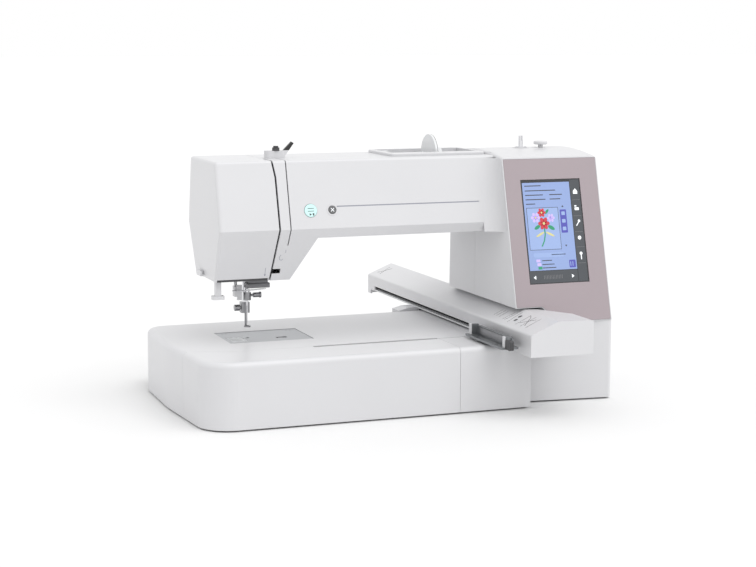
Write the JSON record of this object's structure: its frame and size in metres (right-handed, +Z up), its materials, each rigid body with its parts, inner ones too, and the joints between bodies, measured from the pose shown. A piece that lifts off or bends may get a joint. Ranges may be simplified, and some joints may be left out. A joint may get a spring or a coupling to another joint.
{
  "type": "embroidery machine",
  "caption": "Single-needle embroidery machine: flat bed, upper arm and head, touch display tower, and a long embroidery arm with hoop carriage.",
  "frame": {"origin": "on the table, under the middle of the footprint", "axes": "+X to the machine's right (handwheel side), +Y to its back, +Z up"},
  "size_m": [0.5618, 0.562, 0.335],
  "materials": {
    "white_plastic": "satin moulded white ABS",
    "light_grey_plastic": "matt light grey moulding",
    "rubber": "matt black rubber",
    "translucent_white": "milky white moulding",
    "dark_plastic": "matt dark moulding",
    "grey_plastic": "matt grey moulding",
    "chrome": "polished plating",
    "steel": "ground steel",
    "plate_steel": "finely brushed, flat",
    "mauve_panel": "satin mauve-grey paint",
    "display_glass": "glossy display glass",
    "circuit_board": "green laminate",
    "cast_metal": "sand-cast aluminium",
    "painted_black": "black enamel",
    "belt_rubber": "toothed belt rubber",
    "clear_plastic": "clear moulding",
    "aqua_button": "pale aqua moulding",
    "grey_button": "grey moulding",
    "aluminium": "turned aluminium",
    "chassis_metal": "bent and folded sheet"
  },
  "bodies": {
    "machine": {"base_cover": "white_plastic", "base_pan": "light_grey_plastic", "bed_corner_cover": "white_plastic", "bed_cover": "white_plastic", "bed_front_cover": "white_plastic", "bobbin_case": "dark_plastic", "cast_frame": "cast_metal", "display_bezel": "mauve_panel", "face_cover": "white_plastic", "front_cover": "white_plastic", "head_sole": "dark_plastic", "hook_cover": "clear_plastic", "led_lamp": "grey_plastic", "main_board": "circuit_board", "main_motor": "painted_black", "needle_plate": "plate_steel", "power_inlet": "dark_plastic", "rear_cover": "white_plastic", "rubber_feet": "rubber", "spool_pin": "white_plastic", "spool_tray": "white_plastic", "tension_unit": "steel", "timing_belts": "belt_rubber", "top_thread_guide": "white_plastic", "touch_display": "display_glass", "winder_stopper": "white_plastic", "x_belt": "belt_rubber", "x_guide_rods": "chrome", "x_motor": "painted_black"},
    "embroidery_arm": {"arm_housing": "white_plastic", "arm_chassis": "chassis_metal", "y_motor": "painted_black", "y_guide_rods": "chrome", "y_belt": "belt_rubber"},
    "hoop_carriage": {"carriage_block": "dark_plastic", "hoop_bracket": "chassis_metal"},
    "x_drive_pulley": {"x_pulley": "aluminium"},
    "x_idler_pulley": {"x_idler": "aluminium"},
    "y_drive_pulley": {"y_pulley": "aluminium"},
    "y_idler_pulley": {"y_idler": "aluminium"},
    "needle_bar_group": {"needle_bar": "chrome", "needle_clamp": "steel", "needle": "chrome"},
    "presser_group": {"presser_bar": "chrome", "embroidery_foot": "steel"},
    "lifter": {"foot_lifter": "dark_plastic"},
    "shaft_group": {"main_shaft": "steel", "handwheel": "white_plastic"},
    "lower_shaft_group": {"lower_shaft": "steel"},
    "hook": {"rotary_hook": "steel"},
    "motor_rotor": {"motor_pulley": "steel"},
    "take_up": {"take_up_lever": "chrome"},
    "threader": {"needle_threader": "white_plastic"},
    "start": {"start_button": "aqua_button"},
    "cutter": {"cutter_button": "grey_button"},
    "winder": {"winder_spindle": "chrome"},
    "release": {"plate_release": "dark_plastic"},
    "rocker": {"power_switch": "dark_plastic"},
    "dial": {"pretension_dial": "dark_plastic"},
    "cap": {"spool_cap": "translucent_white"}
  },
  "joints": [
    {"name": "arm_slide", "type": "slide", "parent": "machine", "child": "embroidery_arm", "axis": [1, 0, 0], "range_m": [-0.232, 0]},
    {"name": "carriage_slide", "type": "slide", "parent": "embroidery_arm", "child": "hoop_carriage", "axis": [0, 1, 0], "range_m": [0, 0.36]},
    {"name": "x_pulley_spin", "type": "hinge", "parent": "machine", "child": "x_drive_pulley", "pos_m": [0.24386, 0.1, 0.05], "axis": [0, 0, 1], "range_deg": [-2050, 0.5]},
    {"name": "x_idler_spin", "type": "hinge", "parent": "machine", "child": "x_idler_pulley", "pos_m": [-0.23914, 0.1, 0.05], "axis": [0, 0, 1], "range_deg": [-2050, 0.5]},
    {"name": "y_pulley_spin", "type": "hinge", "parent": "embroidery_arm", "child": "y_drive_pulley", "pos_m": [0.15086, -0.245, 0.097], "axis": [0, 0, 1], "range_deg": [-0.5, 3180]},
    {"name": "y_idler_spin", "type": "hinge", "parent": "embroidery_arm", "child": "y_idler_pulley", "pos_m": [0.15086, 0.255, 0.097], "axis": [0, 0, 1], "range_deg": [-0.5, 3180]},
    {"name": "needle_bar_slide", "type": "slide", "parent": "machine", "child": "needle_bar_group", "axis": [0, 0, 1], "range_m": [-0.031, 0]},
    {"name": "presser_slide", "type": "slide", "parent": "machine", "child": "presser_group", "axis": [0, 0, 1], "range_m": [-0.011, 0]},
    {"name": "foot_lift", "type": "hinge", "parent": "machine", "child": "lifter", "pos_m": [-0.17414, -0.0094, 0.196], "axis": [-1, 0, 0], "range_deg": [0, 50.2]},
    {"name": "main_shaft_spin", "type": "hinge", "parent": "machine", "child": "shaft_group", "pos_m": [-0.00014, -0.049, 0.27], "axis": [1, 0, 0], "continuous": true},
    {"name": "lower_shaft_spin", "type": "hinge", "parent": "machine", "child": "lower_shaft_group", "pos_m": [-0.00014, -0.0422, 0.04], "axis": [1, 0, 0], "continuous": true},
    {"name": "hook_spin", "type": "hinge", "parent": "machine", "child": "hook", "pos_m": [-0.18914, -0.059, 0.06], "axis": [0, 0, 1], "continuous": true},
    {"name": "motor_spin", "type": "hinge", "parent": "machine", "child": "motor_rotor", "pos_m": [0.18886, -0.059, 0.19], "axis": [1, 0, 0], "continuous": true},
    {"name": "take_up_swing", "type": "hinge", "parent": "machine", "child": "take_up", "pos_m": [-0.15814, -0.079, 0.258], "axis": [1, 0, 0], "range_deg": [-32, 32]},
    {"name": "threader_slide", "type": "slide", "parent": "machine", "child": "threader", "axis": [0, 0, 1], "range_m": [-0.03, 0], "stiffness_N_per_m": 40, "springref_m": 0.012},
    {"name": "start_press", "type": "slide", "parent": "machine", "child": "start", "axis": [0, 0.9695, -0.2453], "range_m": [0, 0.0015], "stiffness_N_per_m": 300, "springref_m": -0.001},
    {"name": "cutter_press", "type": "slide", "parent": "machine", "child": "cutter", "axis": [0, 0.9695, -0.2453], "range_m": [0, 0.0015], "stiffness_N_per_m": 300, "springref_m": -0.001},
    {"name": "winder_spin", "type": "hinge", "parent": "machine", "child": "winder", "pos_m": [0.19886, -0.061, 0.32], "axis": [0, 0, 1], "continuous": true},
    {"name": "release_slide", "type": "slide", "parent": "machine", "child": "release", "axis": [1, 0, 0], "range_m": [0, 0.003], "stiffness_N_per_m": 200, "springref_m": -0.001},
    {"name": "power_rock", "type": "hinge", "parent": "machine", "child": "rocker", "pos_m": [0.26636, -0.079, 0.034], "axis": [0, 0, 1], "range_deg": [-10, 10]},
    {"name": "pretension_turn", "type": "hinge", "parent": "machine", "child": "dial", "pos_m": [-0.14114, -0.069, 0.32], "axis": [0, 0, 1], "range_deg": [-150, 150]},
    {"name": "spool_cap_slide", "type": "slide", "parent": "machine", "child": "cap", "axis": [1, 0, 0], "range_m": [-0.05, 0]}
  ],
  "couplings": [
    {"joint": "x_pulley_spin", "follows": "arm_slide", "rad_per_m": 153.85},
    {"joint": "x_idler_spin", "follows": "arm_slide", "rad_per_m": 153.85},
    {"joint": "y_pulley_spin", "follows": "carriage_slide", "rad_per_m": 153.85},
    {"joint": "y_idler_spin", "follows": "carriage_slide", "rad_per_m": 153.85},
    {"joint": "foot_lift", "follows": "presser_slide", "rad_per_m": -79.4},
    {"joint": "lower_shaft_spin", "follows": "main_shaft_spin", "ratio": 1},
    {"joint": "hook_spin", "follows": "main_shaft_spin", "ratio": 2},
    {"joint": "motor_spin", "follows": "main_shaft_spin", "ratio": 2.5}
  ]
}
